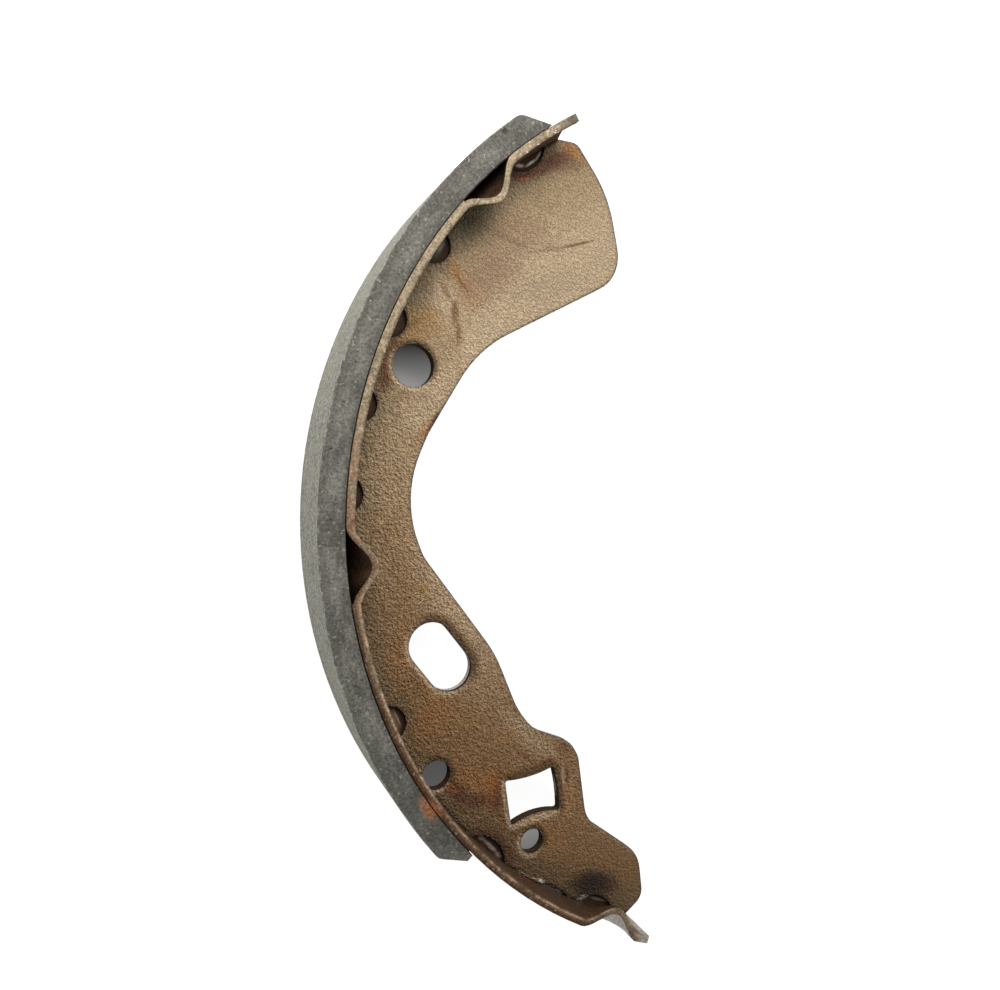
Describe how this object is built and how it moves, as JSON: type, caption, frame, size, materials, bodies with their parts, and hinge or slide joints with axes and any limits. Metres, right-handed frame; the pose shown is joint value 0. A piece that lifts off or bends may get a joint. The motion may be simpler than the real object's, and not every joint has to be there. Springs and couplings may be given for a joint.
{
  "type": "drum brake shoe",
  "caption": "Curved drum brake shoe: flat stamped web with holes, slot and window, welded to a rolled rim that carries a bonded friction lining.",
  "frame": {"origin": "under the middle of the shoe's box, in the plane of the rim's edge on the side away from the nibs, which the shoe rests on", "axes": "+Z along the brake drum's axis, towards the nibbed edge; +Y along the shoe's length, towards its broad end; the lining bulges towards -X, and the drum's axis stands at x 60.25 mm, y 3.93 mm"},
  "size_m": [0.0694, 0.1624, 0.02],
  "materials": {
    "web_steel": "bare pressed steel, dulled tan brown by brake dust and light rust",
    "weld_steel": "dark heat-stained weld metal",
    "rim_steel": "bare rolled steel, sheared edge bright, faces dull brown",
    "bond": "dark cured adhesive with brake dust",
    "friction": "matt moulded friction material with light mineral specks"
  },
  "bodies": {
    "root": {"web": "web_steel", "weld_nuggets": "weld_steel", "rim": "rim_steel", "bond_layer": "bond", "lining": "friction"}
  },
  "joints": []
}
